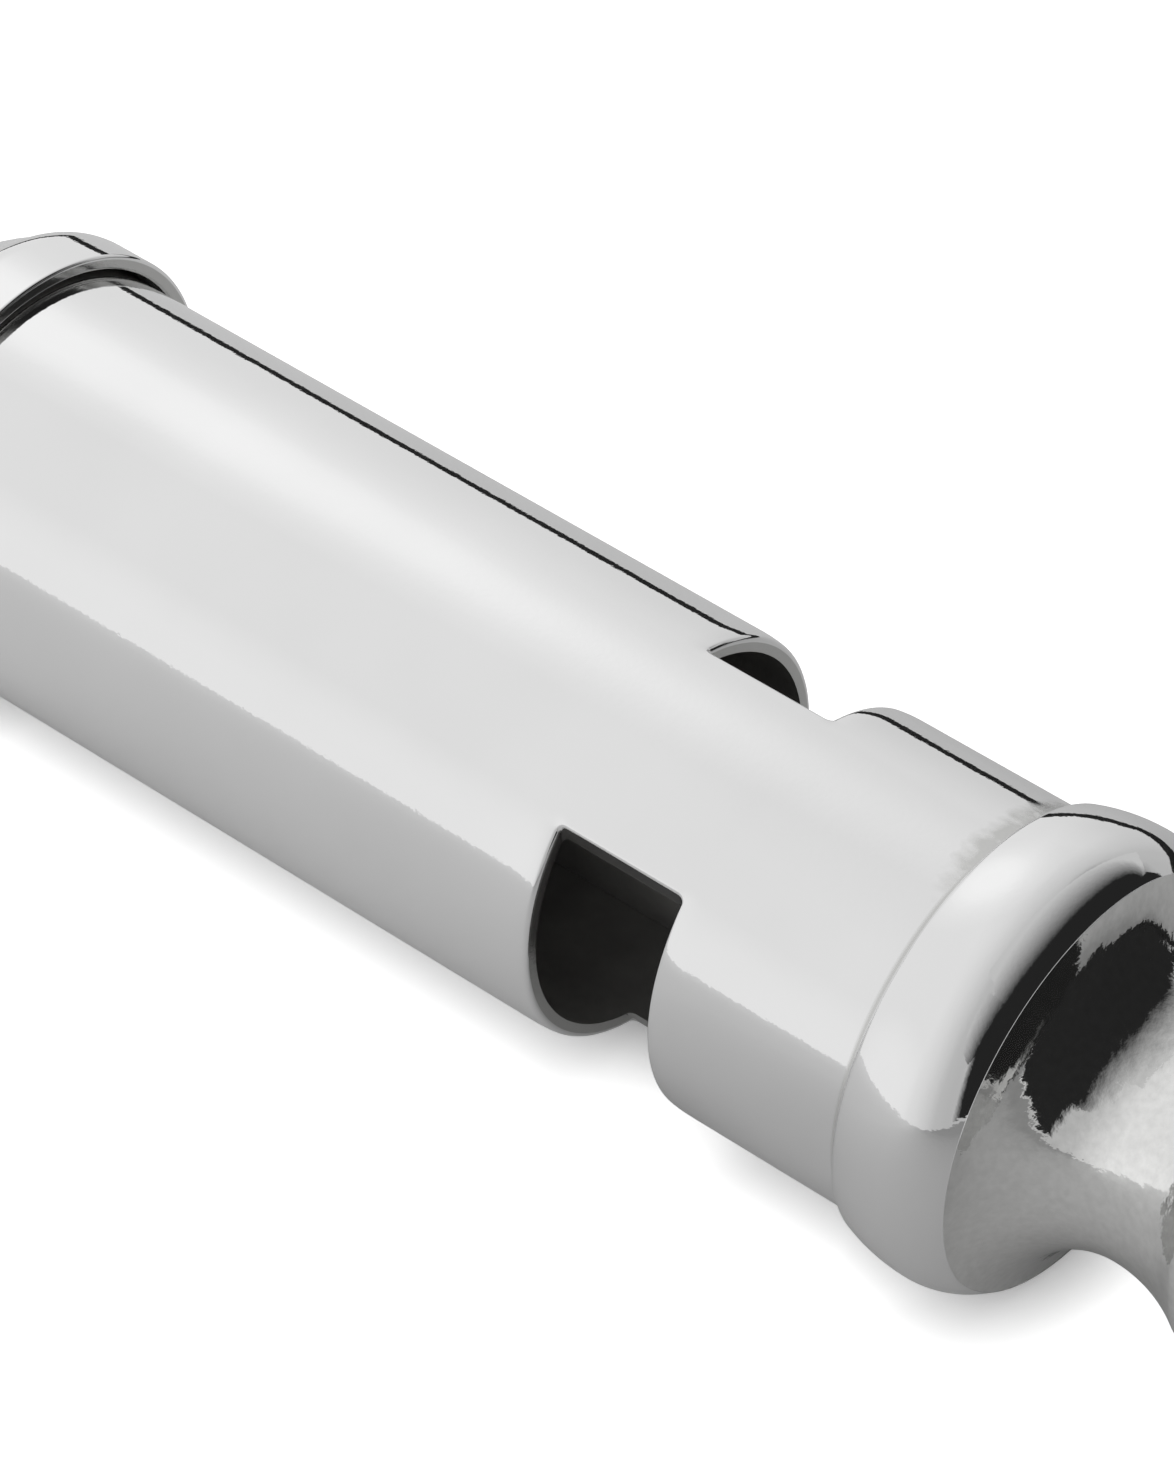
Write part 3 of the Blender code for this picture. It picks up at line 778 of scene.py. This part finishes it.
def direction(azimuth, elevation):
    """Unit vector towards a place round the studio; azimuth 0 is the -Y side and 90 degrees the +X side."""
    a, e = math.radians(azimuth), math.radians(elevation)
    return Vector((math.sin(a) * math.cos(e), -math.cos(a) * math.cos(e), math.sin(e)))


def falloff(tree, place, towards, stops):
    """Strength by the angle from a direction: stops are (degrees, strength), smallest angle first."""
    cosine = add_node(tree, "VectorMath", {0: place, 1: towards}, operation="DOT_PRODUCT").outputs["Value"]
    share = maths(tree, "DIVIDE", maths(tree, "ARCCOSINE", cosine), math.pi)
    ramp = add_node(tree, "ValToRGB", {"Fac": share})
    elements = ramp.color_ramp.elements
    while len(elements) < len(stops):
        elements.new(1.0)
    for element, (degrees, strength) in zip(elements, stops):
        element.position = degrees / 180
        element.color = (strength, strength, strength, 1)
    return ramp.outputs["Color"]


def tent_cloth():
    """White cloth, brightest at the lamp behind it, grey about the opening and dark in the far corner."""
    material, tree, surface = new_stage_material("tent_cloth")
    place = add_node(tree, "TexCoord").outputs["Object"]
    place = add_node(tree, "VectorMath", {0: place}, operation="NORMALIZE").outputs["Vector"]
    glow = None
    for where, stops in TENT_PARTS.values():
        part = falloff(tree, place, direction(*where), stops)
        if glow:
            part = add_node(tree, "VectorMath", {0: glow, 1: part}, operation="MULTIPLY").outputs["Vector"]
        glow = part
    tree.links.new(add_node(tree, "Emission", {"Color": glow}).outputs[0], surface)
    return material


def add_tent():
    """Half sphere of white cloth over the table, left out of the picture itself."""
    bm = bmesh.new()
    around, upwards = TENT_SEGMENTS
    bmesh.ops.create_uvsphere(bm, u_segments=around, v_segments=upwards, radius=TENT_RADIUS)
    below = [v for v in bm.verts if v.co.z < TENT_FOOT]
    bmesh.ops.delete(bm, geom=below, context="VERTS")
    mesh = bpy.data.meshes.new("light_tent")
    bm.to_mesh(mesh)
    bm.free()
    mesh.materials.append(tent_cloth())
    tent = bpy.data.objects.new("light_tent", mesh)
    bpy.context.scene.collection.objects.link(tent)
    tent.location = (TENT_CENTRE, 0, AXIS_HEIGHT)
    tent.visible_camera = False


def only_mirrored(obj):
    """Keeps a card out of the picture, so that the plate alone shows it."""
    obj.visible_camera = False
    obj.visible_diffuse = False
    obj.visible_transmission = False
    obj.visible_shadow = False


def level_corners(reach, z):
    return [(-reach, -reach, z), (reach, -reach, z), (reach, reach, z), (-reach, reach, z)]


def upright_corners(x, reach, heights):
    (left, right), (low, high) = reach, heights
    return [(x, left, low), (x, right, low), (x, right, high), (x, left, high)]


def add_stage():
    add_sheet("floor", level_corners(FLOOR_REACH, 0), white_floor())
    add_tent()
    paper = shaded_paper("table_paper_painted_shade", TABLE_TONES, TABLE_SHADE)
    only_mirrored(add_sheet("table", level_corners(TENT_RADIUS, TABLE_HEIGHT), paper))
    x, y = TENT_RADIUS, GAP_DISTANCE
    corners = [(-x, y, GAP_BOTTOM), (x, y, GAP_BOTTOM), (x, y, GAP_TOP), (-x, y, GAP_TOP)]
    only_mirrored(add_sheet("dark_gap", corners, plain_paper("gap_black", GAP_TONE)))
    for name, (fade, corners) in ROOF_SHEETS.items():
        corners = [(x * MM, y * MM, HOOD_HEIGHTS[1]) for x, y in corners]
        only_mirrored(add_sheet(name, corners, fading_cloth(name, ROOF_CENTRE, fade)))
    corners = upright_corners(END_PLACE, END_REACH, HOOD_HEIGHTS)
    only_mirrored(add_sheet("hood_end", corners, fading_cloth("hood_end", END_CENTRE, END_FADE)))

    world = bpy.data.worlds.new("white_studio")
    bpy.context.scene.world = world
    world.use_nodes = True
    background = world.node_tree.nodes["Background"]
    background.inputs["Color"].default_value = (1, 1, 1, 1)
    background.inputs["Strength"].default_value = 1.0


def add_camera():
    back = direction(CAMERA_AZIMUTH, CAMERA_ELEVATION)
    right = direction(CAMERA_AZIMUTH + 90, 0)
    up = back.cross(right)
    anchor = Vector((ORIGIN - WINDOW_SETBACK, 0, AXIS_HEIGHT))
    camera = bpy.data.objects.new("camera", bpy.data.cameras.new("camera"))
    camera.data.lens = CAMERA_LENS
    camera.data.clip_start = CAMERA_CLIP
    camera.matrix_world = Matrix((right, up, back)).transposed().to_4x4()
    camera.location = anchor + back * CAMERA_DEPTH - right * PICTURE_RIGHT + up * PICTURE_DOWN
    bpy.context.scene.collection.objects.link(camera)
    bpy.context.scene.camera = camera


plates = {name: nickel(name, *look) for name, look in PLATES.items()}
brasses = {name: dark_brass_and_painted_shade(name, *tones) for name, tones in BRASSES.items()}
solder_bloom(plates["tube_nickel"])
# The last material is near-black painted shade on the windows' upper cut faces
add_barrel(plates["tube_nickel"], brasses["inner_brass"], plates["milled_nickel"], brasses["painted_shade_edge"])
add_mouthpiece(plates["polished_nickel"], brasses["inner_brass"], plates["hand_buffed_nickel"])
add_end_cap(plates["polished_nickel"], brasses["inner_brass"], plates["milled_nickel"])
add_suspension_loop(plates["polished_nickel"])
add_suspension_ring(plates["ring_nickel"])
dress_inner_nodes(brasses["inner_brass"])
add_stage()
add_camera()
bpy.context.scene.view_settings.view_transform = "Standard"
